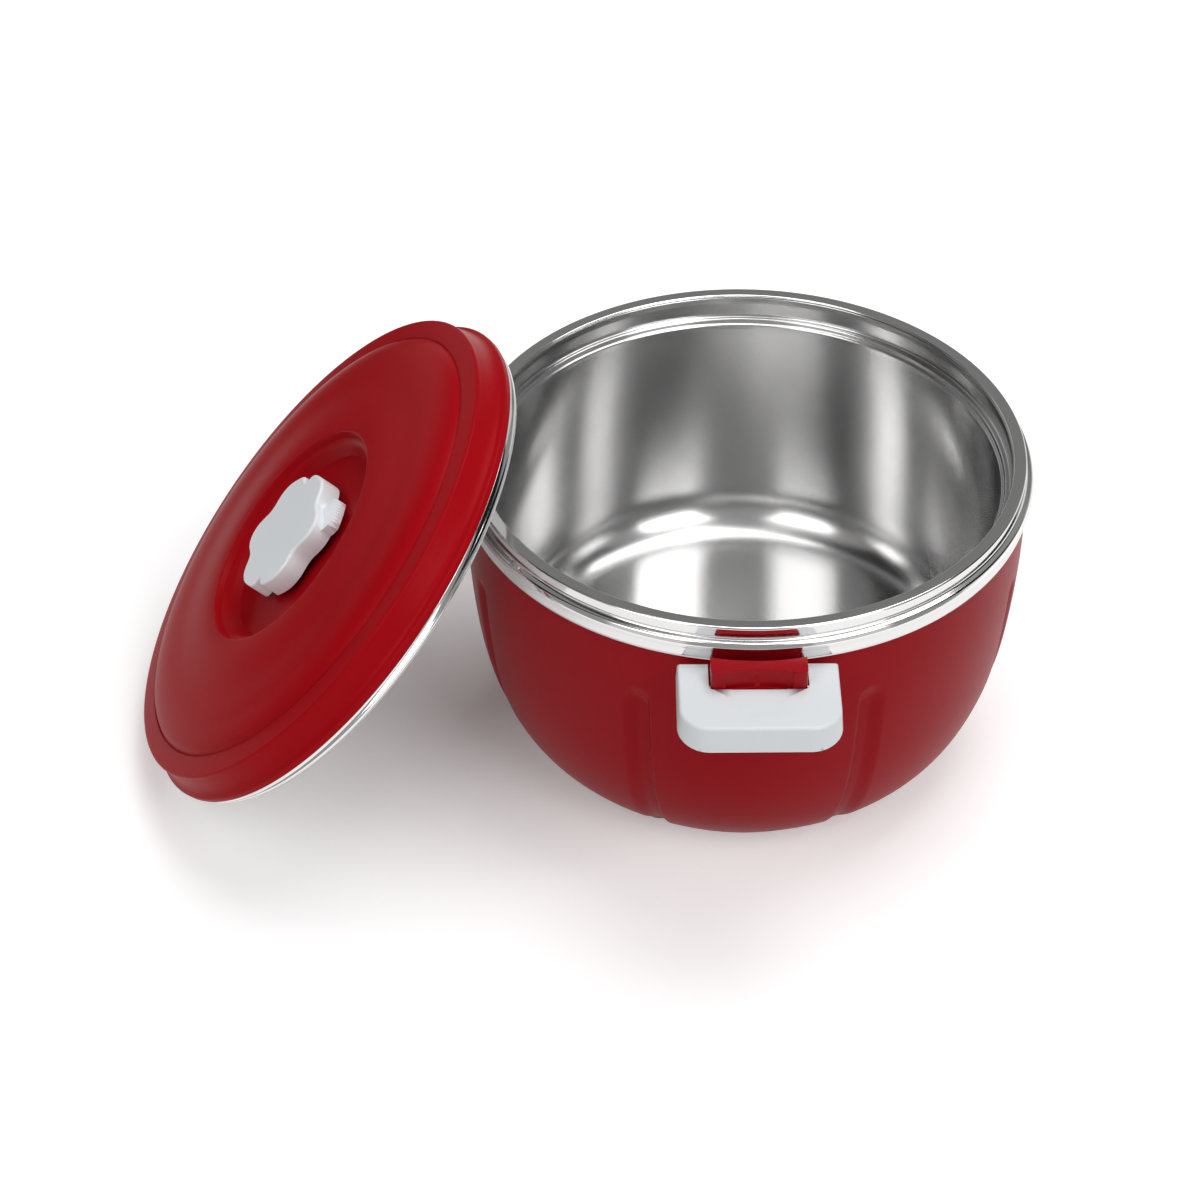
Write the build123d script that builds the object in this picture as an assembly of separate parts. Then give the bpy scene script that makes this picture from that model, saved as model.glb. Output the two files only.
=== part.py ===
"""Insulated casserole for flat breads: a double-walled bowl with a steel liner and
rim, a folding ear on a red lug, and a loose insulated lid with a turning vent knob.

Millimetres, +Z up.  The origin is the middle of the bowl's foot on the table; the
ear points along -Y.  The lid stands beside the bowl and leans on its rim.
"""
from build123d import *
import math
import os

os.makedirs("parts", exist_ok=True)

# ---------------------------------------------------------------- driving dimensions
# the two sizes that the rest of the bowl follows
shell_radius = 122.2        # of the shell at the steel band's lower edge
rim_height = 150.0          # top of the lip above the table

# steel rim ring
band_radius = shell_radius + 1.5    # lower band
band_bottom = rim_height - 16.2
ledge_radius = band_radius + 1.3    # outermost edge of the ledge
lip_outer = shell_radius - 0.8
lip_inner = ledge_radius - 9.4
lip_edge = 0.9              # rounding of the lip's outer edge
collar_height = 5.6         # straight collar below the lip
ledge_drop = 3.2            # height of the ledge's quarter round
ring_sheet = 0.8

# outer shell
foot_radius = shell_radius - 38.2   # where the side meets the foot's flat underside
foot_height = 1.0
foot_edge = 0.7             # rounding of the foot's lower edge
side_points = [             # how far outside the foot's edge, and how high
    (10.2, 10.7), (19.3, 21.4), (27.0, 37.4), (32.3, 56.2), (35.8, 80.2), (37.8, 107.0)]
foot_lean = 40              # degrees that the side leans out at the foot, from upright
shell_wall = 2.4
neck_step = 0.5             # the shell steps in under the steel band
neck_height = 5.2           # part of the neck hidden inside the band

# flutes pressed into the side
flute_angles = (24.0, 70.7)  # degrees on both sides of the ear, and of the back
flute_depth = 1.1
flute_cutter = 13.5         # radius of the round flute
flute_top = rim_height - 42.0

# steel liner
liner_sheet = 0.8
seat_outer = lip_inner - 0.6        # outer edge of the inner bead
seat_inner = seat_outer - 4.1       # inner edge of the bead = mouth of the cavity
seat_top = rim_height - 11.2
seat_drop = 4.2
cavity_foot = seat_inner - 5.9      # radius where the cavity wall meets the corner
cavity_corner = 22.0        # corner radius between wall and floor
cavity_floor = 20.0

# base
base_wall = 2.6
base_radius = foot_radius - 7.0     # disc that closes the shell's foot
base_gap = 0.1
shelf_wall = 2.4            # shelf inside the foot that the disc is screwed to
shelf_inner = base_radius - 20.0
base_boss, base_boss_height = 5.0, 6.0
base_screw_circle = base_radius - 11.0
base_screw_count = 4
base_groove, base_groove_width, base_groove_depth = 54.0, 4.0, 0.8

# folding ear and its lug
ear_width = 66.0
ear_inner = ledge_radius - 2.4      # distance of the arms' ends from the bowl's axis
ear_outer = ear_inner + 40.6
ear_top = rim_height - 17.3
ear_plate = 2.4
ear_wall = 2.2
skirt_inner = 7.0           # skirt height at the arms
skirt_outer = 11.8          # skirt height at the grip
skirt_taper = 4.0           # degrees that the skirt flares
ear_outer_corner = 13.0
ear_edge = 1.5              # rounding of the upper edge
notch_half = 20.5
notch_depth = 16.2
notch_corner = 2.0
dish_width, dish_length, dish_depth = 22.4, 15.8, 0.2

pin_radius = 1.5
pin_out = ledge_radius + 9.8        # pin axis: distance from the bowl's axis
pin_height = rim_height - 20.6
pin_half = 28.0
pin_running = 0.05          # radial clearance of the ear on its pin
pin_press = 0.01
pin_cover = 4.6             # the skirt's web starts this far outside the pin axis
web_cut = 6.0               # under the notch the web is cut back this far outside the pin axis

lug_gap = 0.7               # side gap between lug and ear
lug_front_gap = 0.3
lug_top = rim_height - 9.2
lug_back = band_radius + 4.5
lug_back_sagitta = 2.4
lug_root_top = band_bottom - 2.4
lug_root_bottom = rim_height - 42.0
lug_root_thick = 3.4
lug_root_depth = 6.0        # the lug is cut from this far inside the shell's outside
lug_seat = 0.1              # gap between lug and shell
scoop_half, scoop_edge, scoop_mid = 13.8, 0.9, 2.7
scoop_drop = 1.0            # the scoop starts this far below the ear's top

ear_screw_offset = 12.0
ear_screw_height = lug_root_bottom + 9.0
screw_radius, screw_head, screw_head_height = 1.6, 3.0, 1.8
thread_gap = 0.02
base_head_depth = 1.6       # how far the base screws' heads are sunk
screw_reach = 6.6
screw_seat = 2.4            # the heads sit this far inside the wall, clear of its curve

# lid, in its own frame: axis +Z, origin in the plane of the steel edge
lid_edge_radius = lip_outer - 2.4
lid_edge_round = 0.8
lid_band_height = 4.6
lid_band_flare = 0.4
lid_sheet = 0.8
lid_tongue_height = 4.0     # steel tongue inside the cover's skirt
plug_radius = lip_inner - 1.6       # centring step that drops inside the lip
plug_depth = 1.2
flange_radius = lid_edge_radius + 1.8
flange_gap = 0.4            # dark line between steel and red cover
flange_height = 6.2
flange_step_height = 8.2
flange_step_radius = lid_edge_radius + 0.9
valley_radius, valley_height = lid_edge_radius - 0.7, 12.0
ring_edge_radius, ring_edge_height = lid_edge_radius - 2.1, 19.4
ring_edge_round = 1.0
crease_radius, crease_height = lid_edge_radius - 12.8, 21.2
crease_lip = 0.5
shoulder_radius, shoulder_height = lid_edge_radius - 16.6, 24.2
dome_mid_radius, dome_mid_height = lid_edge_radius - 39.0, 27.4
recess_radius, recess_height = 53.2, 29.0
recess_lip = 1.6
recess_floor_radius = recess_radius - 6.0
recess_floor = recess_height - 9.0
boss_radius, boss_height = 15.0, 1.0
cover_wall = 2.4
foam_gap = 0.3

gasket_inner, gasket_height = plug_radius + 1.0, 0.9
gasket_outer = gasket_inner + 2.6

# vent knob
knob_lobes = 6
knob_radius = 28.8          # over the lobes
knob_waist = 24.0           # in the four wide valleys
knob_notch = 24.4           # in the two narrow notches, which face each other
knob_phase = 21.0           # degrees from the uphill direction to a lobe
notch_flank = 8.0           # degrees from a notch's middle to its edge
knob_bottom = recess_floor + 3.4
knob_top = knob_bottom + 9.8
knob_plate = 2.6
knob_wall = 2.4
knob_edge = 1.3
tab_angle = -22.0           # pointer tab
tab_reach = knob_radius + 4.2
tab_width = 17.0
tab_top = knob_top - 4.6
stem_radius = 12.0
stem_gap = 0.4              # the stem turns this far above the boss
shaft_radius = 4.0
shaft_running = 0.06
shaft_length = 6.0          # below the cover's floor
washer_radius, washer_height = 2 * shaft_radius, 1.0
washer_gap = 0.2
knob_screw_radius = 1.8
knob_screw_head = 4.0
knob_screw_head_height = 2.4
knob_screw_reach = 12.0
vent_offset = 22.0          # steam tube from the lid's axis
vent_outer, vent_inner = 3.2, 1.6
vent_flange = 5.2
seal_gap = 0.2

# how the lid stands beside the bowl
lid_tilt = 48.1             # degrees from level
lid_azimuth = 181.3         # direction from the bowl's axis to the lid's foot
lean_gap = 0.3

section = Plane.XZ          # profiles are drawn in this plane and turned about Z


def at(radius, height):
    """A point of a turned profile."""
    return Vector(radius, 0, height)


def turned(*edges):
    """The solid that a closed profile makes when it turns about Z."""
    return revolve(Face(Wire(list(edges))), Axis.Z, 360)


def chain(points):
    """Straight edges through a closed list of points."""
    return [Line(a, b) for a, b in zip(points, points[1:] + points[:1])]


def upright(radius, bottom, top):
    """A cylinder about Z between two heights."""
    return Pos(0, 0, bottom) * Cylinder(radius, top - bottom, align=(Align.CENTER, Align.CENTER, Align.MIN))


def side_ends():
    """Directions of the side at the foot and at the steel band."""
    lean = math.radians(foot_lean)
    return [(math.sin(lean), 0, math.cos(lean)), (0, 0, 1)]


def side_curve():
    """The shell's side, from the foot to the steel band."""
    middle = [at(foot_radius + out, height) for out, height in side_points]
    points = [at(foot_radius, foot_height)] + middle + [at(shell_radius, band_bottom)]
    return Spline(points, tangents=side_ends())


def beside(curve, distance, first, last, count):
    """Points at a distance outside a profile curve, along its normals."""
    points = []
    for step in range(count):
        place = first + (last - first) * step / (count - 1)
        spot, along = curve @ place, curve % place
        points.append(spot + Vector(along.Z, 0, -along.X) * distance)
    return points


def side_inset(distance):
    """The shell's side, moved inwards by a distance."""
    points = beside(side_curve(), -distance, 0, 1, 8)
    points[-1] = at(shell_radius - distance, band_bottom)
    return Spline(points, tangents=side_ends())


def bowl_form(distance, bottom, top):
    """The bowl's outer form as a solid, inset by a distance and cut at two heights."""
    side = side_inset(distance) if distance else side_curve()
    foot = side @ 0
    upper = side @ 1
    points = [foot, at(foot.X, 0), at(0, 0), at(0, top), at(upper.X, top), upper]
    form = turned(side, *[Line(a, b) for a, b in zip(points, points[1:]) if a != b])
    return form & upright(2 * shell_radius, bottom, top)


def flute_cutters():
    """Round bars that follow the side, sunk into it by the flutes' depth."""
    curve = side_curve()
    points = beside(curve, flute_cutter - flute_depth, 0, 0.80, 7)
    points = [p for p in points if p.Z < flute_top]
    start = points[0] + (points[0] - points[1]) * 0.5
    path = Spline([start] + points)
    bar = sweep(Plane(origin=path @ 0, z_dir=path % 0) * Circle(flute_cutter), path=path)
    bar += Pos(path @ 1) * Sphere(flute_cutter)
    turns = [end + side * angle for end in (-90, 90) for side in (-1, 1) for angle in flute_angles]
    return [Rot(0, 0, turn) * bar for turn in turns]


def outer_shell():
    """Red moulded shell with flutes, a foot and a neck that the steel band covers."""
    neck = shell_radius - neck_step
    shell = bowl_form(0, 0, band_bottom)
    shell += Pos(0, 0, band_bottom) * Cylinder(neck, neck_height, align=(Align.CENTER, Align.CENTER, Align.MIN))
    shell = fillet(shell.edges().group_by(Axis.Z)[0], foot_edge)
    shelf_top = base_wall + base_gap + shelf_wall
    shell -= bowl_form(shell_wall, shelf_top, band_bottom)
    shell -= upright(shell_radius - shell_wall, band_bottom - 1, band_bottom + neck_height + 1)
    shell -= upright(shelf_inner, 0, shelf_top)
    shell -= upright(base_radius + base_gap, 0, base_wall + base_gap)
    for place in base_screw_places():
        shell += place * upright(base_boss, shelf_top, shelf_top + base_boss_height)
        shell -= place * upright(screw_radius + thread_gap, 0, shelf_top + base_boss_height - 1)
    for cutter in flute_cutters():
        shell -= cutter
    for axis in ear_screw_axes():
        shell -= axis * Cylinder(screw_radius + 0.4, 12)
    return shell


def base_cover():
    """Disc with a pressed ring and countersunk screw holes that closes the foot."""
    cover = upright(base_radius, 0, base_wall)
    cover -= upright(base_groove, 0, base_groove_depth) - upright(base_groove - base_groove_width, 0, base_groove_depth)
    for place in base_screw_places():
        cover -= place * upright(screw_radius + 0.2, 0, base_wall)
        cover -= place * upright(screw_head + 0.2, 0, base_head_depth)
    return cover


def base_screw_places():
    """Where the base screws stand, halfway between front, side and rear."""
    return [Rot(0, 0, 45 + 360 / base_screw_count * k) * Pos(base_screw_circle, 0, 0)
            for k in range(base_screw_count)]


def base_screws():
    """Flat-head screws that hold the base disc."""
    top = base_head_depth - 0.05
    screw = upright(screw_head, 0.2, top)
    screw += upright(screw_radius, top, base_wall + base_gap + shelf_wall + 4.0)
    screw -= Pos(0, 0, 0.2) * Box(0.8, 3.6, 0.8)
    screw -= Pos(0, 0, 0.2) * Box(3.6, 0.8, 0.8)
    return Compound(children=[place * screw for place in base_screw_places()])


def liner_profile(distance, top):
    """Half section of the liner, moved outwards by a distance, up to a height.

    Edges run from the axis along the floor, round the corner, up the wall, over
    the bead and up to the hem.
    """
    floor = cavity_floor - distance
    corner = cavity_corner + distance
    wall = cavity_foot + distance
    mouth = seat_inner + distance
    bead = seat_outer + distance
    hub = at(wall - corner, floor + corner)
    bend = hub + Vector(math.sin(math.radians(45)), 0, -math.cos(math.radians(45))) * corner
    shelf = seat_top - distance
    edges = [
        Line(at(0, floor), at(wall - corner, floor)),
        ThreePointArc(at(wall - corner, floor), bend, at(wall, floor + corner)),
        Line(at(wall, floor + corner), at(mouth, seat_top - seat_drop)),
        ThreePointArc(at(mouth, seat_top - seat_drop),
                      at(mouth + 0.3 * (bead - mouth), shelf - 0.3 * (shelf - seat_top + seat_drop)),
                      at(bead, shelf)),
        Line(at(bead, shelf), at(bead, top)),
    ]
    return edges


def liner_form(distance, top):
    """The liner's hollow as a solid, moved outwards by a distance."""
    edges = liner_profile(distance, top)
    end = edges[-1] @ 1
    return turned(*edges, Line(end, at(0, top)), Line(at(0, top), edges[0] @ 0))


def inner_bowl():
    """Steel liner: hem under the lip, bead that seats the lid, wall, corner and floor."""
    hem_top = rim_height - ring_sheet - 0.1
    hem_outer = lip_outer - ring_sheet - 0.3
    bowl = liner_form(liner_sheet, hem_top)
    low = Align.MIN
    bowl += Pos(0, 0, hem_top - liner_sheet) * Cylinder(
        hem_outer, liner_sheet, align=(Align.CENTER, Align.CENTER, low))
    bowl -= liner_form(0, hem_top + 1)
    return bowl


def rim_ring():
    """Pressed steel ring: flat lip, collar, quarter-round ledge and lower band."""
    top = rim_height
    collar = rim_height - collar_height
    ledge = collar - ledge_drop
    quarter = math.sqrt(0.5)
    under = ledge - 0.9
    outer = [
        Line(at(lip_inner, top), at(lip_outer - lip_edge, top)),
        ThreePointArc(at(lip_outer - lip_edge, top),
                      at(lip_outer - lip_edge * (1 - quarter), top - lip_edge * (1 - quarter)),
                      at(lip_outer, top - lip_edge)),
        Line(at(lip_outer, top - lip_edge), at(lip_outer, collar)),
        ThreePointArc(at(lip_outer, collar),
                      at(lip_outer + (ledge_radius - lip_outer) * quarter, ledge + ledge_drop * quarter),
                      at(ledge_radius, ledge)),
    ]
    body = [at(ledge_radius, ledge), at(ledge_radius, under), at(band_radius, under - 0.4),
            at(band_radius, band_bottom), at(band_radius - ring_sheet, band_bottom),
            at(band_radius - ring_sheet, ledge - 1.0), at(lip_outer - ring_sheet, collar - 1.4),
            at(lip_outer - ring_sheet, top - ring_sheet), at(lip_inner, top - ring_sheet),
            at(lip_inner, top)]
    return turned(*outer, *[Line(a, b) for a, b in zip(body, body[1:])])


def rim_seal():
    """Silicone ring that seals the steel ring on the shell's neck."""
    bottom = band_bottom + neck_height + 0.1
    outer = band_radius - ring_sheet - 0.3
    ring = Cylinder(outer, 1.2, align=(Align.CENTER, Align.CENTER, Align.MIN))
    ring -= Cylinder(shell_radius - shell_wall, 1.2, align=(Align.CENTER, Align.CENTER, Align.MIN))
    return Pos(0, 0, bottom) * ring


def foam_fill():
    """Foamed insulation between shell and liner."""
    bottom = base_wall + base_gap + shelf_wall + foam_gap
    top = band_bottom + neck_height
    foam = bowl_form(shell_wall + foam_gap, bottom, top)
    foam -= liner_form(liner_sheet + foam_gap, top + 20)
    for place in base_screw_places():
        foam -= place * upright(base_boss + foam_gap, 0, bottom + base_boss_height)
    for hole in ear_screw_axes():
        foam -= hole * Pos(0, 0, -4) * Cylinder(screw_head + 0.5, 7)
    return foam


def ear_outline(grow):
    """Plan of an ear, grown on all sides."""
    depth = ear_outer - ear_inner
    plan = Pos(0, -(ear_inner + ear_outer) / 2) * Rectangle(ear_width + 2 * grow, depth + 2 * grow)
    corners = plan.vertices().sort_by(Axis.Y)
    plan = fillet(corners[:2], ear_outer_corner + grow)
    return plan


def folding_ear():
    """White ear: plate with a flared skirt, two arms beside the lug, and a thumb dish."""
    plan = ear_outline(0)
    body = Pos(0, 0, ear_top) * extrude(plan, -skirt_outer, taper=-skirt_taper)
    body = fillet(body.faces().sort_by(Axis.Z)[-1].outer_wire().edges().sort_by(Axis.Y)[:-1], ear_edge)
    deep = skirt_outer - ear_plate
    hollow = Pos(0, 0, ear_top - ear_plate) * extrude(ear_outline(-ear_wall), -deep * 2, taper=-skirt_taper)
    arms_end = pin_out + pin_cover
    hollow -= Pos(0, -arms_end / 2, ear_top) * Box(2 * ear_width, arms_end, 6 * skirt_outer)
    body -= hollow
    web = pin_out + web_cut - ear_inner
    body -= Pos(0, -ear_inner - web / 2, ear_top - ear_plate) * Box(
        2 * notch_half, web, 2 * skirt_outer, align=(Align.CENTER, Align.CENTER, Align.MAX))
    slope = math.degrees(math.atan2(skirt_outer - skirt_inner, ear_outer - ear_inner))
    under = Pos(0, -ear_inner, ear_top - skirt_inner) * Rot(slope, 0, 0) * Box(
        3 * ear_width, 6 * ear_width, 40, align=(Align.CENTER, Align.CENTER, Align.MAX))
    body -= under
    through = 5 * skirt_outer
    notch = Pos(0, -ear_inner - notch_depth / 2, ear_top) * Box(2 * notch_half, notch_depth, through)
    notch = fillet(notch.edges().filter_by(Axis.Z).sort_by(Axis.Y)[:2], notch_corner)
    notch += Pos(0, -ear_inner + 5, ear_top) * Box(2 * notch_half, 10.2, through)
    body -= notch
    swing = pin_out - ear_inner
    body &= arm_swing(swing)
    bore = pin_radius + pin_running
    body -= Pos(0, -pin_out, pin_height) * Rot(0, 90, 0) * Cylinder(bore, 2 * pin_half + 0.6)
    dish = Pos(0, -ear_inner - notch_depth) * Ellipse(dish_width / 2, dish_length)
    body -= Pos(0, 0, ear_top - dish_depth) * extrude(dish, 4)
    return body


def arm_swing(reach):
    """Room for the arms: outside the pin everything, inside it a round end."""
    far = 4 * ear_width
    room = Pos(0, -pin_out - far / 2, pin_height) * Box(far, far, far)
    return room + Pos(0, -pin_out, pin_height) * Rot(0, 90, 0) * Cylinder(reach, far)


def ear_lug():
    """Red lug: foot on the shell, barrel round the pin, head with a thumb scoop."""
    front = ear_inner + notch_depth - lug_front_gap
    barrel = front - pin_out
    half = notch_half - lug_gap
    profile = [
        (lug_root_bottom, shell_radius - lug_root_depth), (lug_root_bottom, shell_radius + lug_root_thick),
        (pin_height - barrel - 4.5, pin_out - 5.5), (pin_height - barrel, pin_out),
        (pin_height, front), (lug_top, front), (lug_top, lug_back), (band_bottom + 2.6, lug_back),
        (lug_root_top, band_radius + 2.2), (lug_root_top, shell_radius - lug_root_depth)]
    points = [Vector(-half, -out, up) for up, out in profile]
    lug = extrude(Face(Wire(chain(points))), amount=2 * half, dir=(1, 0, 0))
    lug = fillet(lug.edges().filter_by(Axis.Z).group_by(Axis.Y)[0], notch_corner)
    lug += Pos(0, -pin_out, pin_height) * Rot(0, 90, 0) * Cylinder(barrel, 2 * (half - notch_corner / 2))
    lug -= bowl_form(-lug_seat, 0, rim_height)
    curve = (half ** 2 + lug_back_sagitta ** 2) / (2 * lug_back_sagitta)
    cove = Pos(0, -lug_back - lug_back_sagitta + curve, band_bottom + 4) * Cylinder(
        curve, 30, align=(Align.CENTER, Align.CENTER, Align.MIN))
    lug -= cove
    scoop = [Vector(-scoop_half, -front - 1, 0), Vector(-scoop_half, -front + scoop_edge, 0),
             Vector(scoop_half, -front + scoop_edge, 0), Vector(scoop_half, -front - 1, 0)]
    mouth = Wire([Line(scoop[0], scoop[1]),
                  ThreePointArc(scoop[1], Vector(0, -front + scoop_mid, 0), scoop[2]),
                  Line(scoop[2], scoop[3]), Line(scoop[3], scoop[0])])
    lug -= Pos(0, 0, ear_top - scoop_drop) * extrude(Face(mouth), 30, dir=(0, 0, 1))
    lug -= Pos(0, -pin_out, pin_height) * Rot(0, 90, 0) * Cylinder(pin_radius + pin_press, 4 * half)
    for hole in ear_screw_axes():
        lug -= hole * Pos(0, 0, screw_reach / 2) * Cylinder(screw_radius + thread_gap, screw_reach + 6)
    return lug


def ear_screw_axes():
    """Axes of the lug's two screws; +Z of each points outwards through the shell."""
    return [Pos(x, -shell_radius + shell_wall, ear_screw_height) * Rot(90, 0, 0)
            for x in (-ear_screw_offset, ear_screw_offset)]


def ear_screws():
    """Two screws from inside the shell into the lug."""
    screw = upright(screw_head, -screw_head_height - screw_seat, -screw_seat)
    screw += upright(screw_radius, -screw_seat, screw_reach)
    return Compound(children=[axis * screw for axis in ear_screw_axes()])


def ear_pin():
    """Steel hinge pin, pressed into the lug; the ear's arms turn on its ends."""
    pin = Rot(0, 90, 0) * Cylinder(pin_radius, 2 * pin_half)
    return Pos(0, -pin_out, pin_height) * chamfer(pin.edges().filter_by(GeomType.CIRCLE), 0.3)


def cover_edges(inset, bottom):
    """Half section of the lid cover's outside, moved inwards by an inset.

    From the skirt's lower edge over the flange, valley, ring, crease, dome and
    recess to the axis.
    """
    skirt = at(flange_radius - inset, bottom)
    flange = at(flange_radius - inset, flange_height)
    ledge = at(flange_step_radius - inset, flange_step_height)
    ring = at(ring_edge_radius - inset, ring_edge_height - inset)
    corner = at(ring_edge_radius - ring_edge_round - inset, ring_edge_height + ring_edge_round * 0.7 - inset)
    crease = at(crease_radius, crease_height - inset)
    rise = at(crease_radius - crease_lip, crease_height + crease_lip - inset)
    brim = at(recess_radius + recess_lip + inset, recess_height - inset)
    drop = at(recess_radius + inset, recess_height - recess_lip - inset)
    floor = at(recess_floor_radius + inset, recess_floor - inset)
    dome = Spline(
        [rise, at(shoulder_radius, shoulder_height - inset),
         at(dome_mid_radius, dome_mid_height - inset), brim],
        tangents=[(-0.75, 0, 0.66), (-1, 0, 0)])
    return [
        Line(skirt, flange),
        Line(flange, ledge),
        Spline([ledge, at(valley_radius - inset, valley_height), ring],
               tangents=[(-0.6, 0, 0.8), (-0.25, 0, 1)]),
        Line(ring, corner),
        Line(corner, crease),
        Line(crease, rise),
        dome,
        ThreePointArc(brim, at(recess_radius + 0.3 * recess_lip + inset, recess_height - 0.3 * recess_lip - inset), drop),
        Line(drop, floor),
        Line(floor, at(0, recess_floor - inset)),
    ]


def cover_form(inset, bottom):
    """The lid cover's outside as a solid, inset and cut flat at the bottom."""
    edges = cover_edges(inset, bottom)
    end = edges[-1] @ 1
    start = edges[0] @ 0
    return turned(*edges, Line(end, at(0, bottom)), Line(at(0, bottom), start))


def vent_place():
    """Place of the steam tube in the lid, under the knob's pointer tab."""
    return Rot(0, 0, tab_angle) * Pos(vent_offset, 0, 0)


def lid_cover():
    """Red moulded cover: skirt, ring, crowned dome and a sunk place for the knob."""
    skirt = lid_band_height + flange_gap
    cover = cover_form(0, skirt)
    cover -= cover_form(cover_wall, skirt - 1)
    cover += upright(boss_radius, recess_floor - cover_wall, recess_floor + boss_height)
    cover -= upright(shaft_radius + shaft_running, recess_floor - 2 * cover_wall, recess_floor + 4)
    cover -= vent_place() * upright(vent_outer + 0.05, recess_floor - 2 * cover_wall, recess_floor + 4)
    return cover


def lid_inner_plate():
    """Steel underside: flat plate, centring step, seat, polished edge band and tongue."""
    top = lid_band_height
    tongue = valley_radius - cover_wall - 0.3
    quarter = lid_edge_round * (1 - math.sqrt(0.5))
    band = lid_edge_radius + lid_band_flare
    lower = [
        Line(at(0, -plug_depth), at(plug_radius, -plug_depth)),
        Line(at(plug_radius, -plug_depth), at(plug_radius + 0.6, 0)),
        Line(at(plug_radius + 0.6, 0), at(lid_edge_radius - lid_edge_round, 0)),
        ThreePointArc(at(lid_edge_radius - lid_edge_round, 0),
                      at(lid_edge_radius - quarter, quarter), at(lid_edge_radius, lid_edge_round)),
        Line(at(lid_edge_radius, lid_edge_round), at(band, top)),
    ]
    upper = [at(band, top), at(tongue, top), at(tongue, top + lid_tongue_height),
             at(tongue - lid_sheet, top + lid_tongue_height), at(tongue - lid_sheet, lid_sheet),
             at(plug_radius, lid_sheet), at(plug_radius - 0.6, lid_sheet - plug_depth),
             at(0, lid_sheet - plug_depth), at(0, -plug_depth)]
    plate = turned(*lower, *[Line(a, b) for a, b in zip(upper, upper[1:])])
    plate -= vent_place() * upright(vent_outer + 0.05, -5, 5)
    return plate


def lid_foam():
    """Foamed insulation between the cover and the steel plate."""
    foam = cover_form(cover_wall + foam_gap, lid_sheet + foam_gap)
    outer = valley_radius - cover_wall - lid_sheet - 2 * foam_gap
    foam &= upright(outer, -5, 60)
    pocket = recess_floor - cover_wall - washer_height - shaft_length
    foam -= upright(washer_radius + 2, pocket - 3, recess_floor)
    foam -= vent_place() * upright(vent_outer + foam_gap, -5, 40)
    return foam


def lid_gasket():
    """Silicone ring under the lid's seat."""
    ring = upright(gasket_outer, -gasket_height, 0)
    return ring - upright(gasket_inner, -gasket_height, 0)


def vent_tube():
    """Steam tube through the lid, flush with the floor of the recess."""
    tube = upright(vent_outer, -plug_depth - 0.6, recess_floor + 0.3)
    tube += upright(vent_flange, -plug_depth - 0.6, -plug_depth)
    return vent_place() * (tube - upright(vent_inner, -10, 40))


def knob_plan(shrink):
    """Six-lobed plan: four wide valleys, and two narrow notches opposite each other."""
    pitch = 360 / knob_lobes
    shape = []
    for lobe in range(knob_lobes):
        middle = knob_phase + pitch * lobe
        shape.append((middle, knob_radius))
        if lobe % 3 == 0:
            notch = middle + pitch / 2
            shape += [(notch - 2 * notch_flank, knob_radius - 0.2), (notch - notch_flank, knob_radius - 0.9),
                      (notch, knob_notch), (notch + notch_flank, knob_radius - 0.9),
                      (notch + 2 * notch_flank, knob_radius - 0.2)]
        else:
            shape += [(middle + pitch / 4, (knob_radius + knob_waist) / 2 + 0.4), (middle + pitch / 2, knob_waist),
                      (middle + pitch * 3 / 4, (knob_radius + knob_waist) / 2 + 0.4)]
    points = [Vector(math.cos(math.radians(a)), math.sin(math.radians(a)), 0) * (r - shrink) for a, r in shape]
    return make_face(Spline(points, periodic=True))


def knob():
    """White knob: lobed cup with a flat top, a socket for the stem and a pointer tab."""
    height = knob_top - knob_bottom
    cup = Pos(0, 0, knob_bottom) * extrude(knob_plan(0), height)
    cup = fillet(cup.faces().sort_by(Axis.Z)[-1].edges(), knob_edge)
    cup -= Pos(0, 0, knob_bottom - 1) * extrude(knob_plan(knob_wall), height - knob_plate + 1)
    tab = Pos(tab_reach - 6, 0, knob_bottom) * Cylinder(
        tab_width / 2, tab_top - knob_bottom, align=(Align.CENTER, Align.CENTER, Align.MIN))
    tab &= upright(tab_reach, 0, 60)
    tab = Rot(0, 0, tab_angle) * tab
    cup += tab
    cup += upright(stem_radius, knob_bottom, knob_top - 1)
    cup -= upright(shaft_radius + 0.02, knob_bottom - 1, knob_top - knob_plate)
    return cup


def knob_spindle():
    """Grey spindle: collar that shows under the knob and a shaft through the cover."""
    collar = recess_floor + boss_height + stem_gap
    spindle = upright(stem_radius, collar, knob_bottom - 0.05)
    spindle += upright(shaft_radius, recess_floor - cover_wall - washer_gap, knob_top - knob_plate - 0.2)
    return spindle - upright(knob_screw_radius + 0.02, 0, recess_floor - cover_wall + knob_screw_reach)


def knob_washer():
    """Washer that holds the spindle up against the cover's floor."""
    top = recess_floor - cover_wall - washer_gap - 0.02
    return upright(washer_radius, top - washer_height, top) - upright(knob_screw_radius + 0.1, 0, 30)


def knob_screw():
    """Screw from below into the spindle."""
    seat = recess_floor - cover_wall - washer_gap - washer_height - 0.04
    screw = upright(knob_screw_head, seat - knob_screw_head_height, seat)
    return screw + upright(knob_screw_radius, seat, seat + knob_screw_reach)


def vent_seal():
    """Silicone pad under the pointer tab that covers the steam tube."""
    return vent_place() * upright(4.0, recess_floor + 0.3 + seal_gap, knob_bottom - 0.02)


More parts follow.
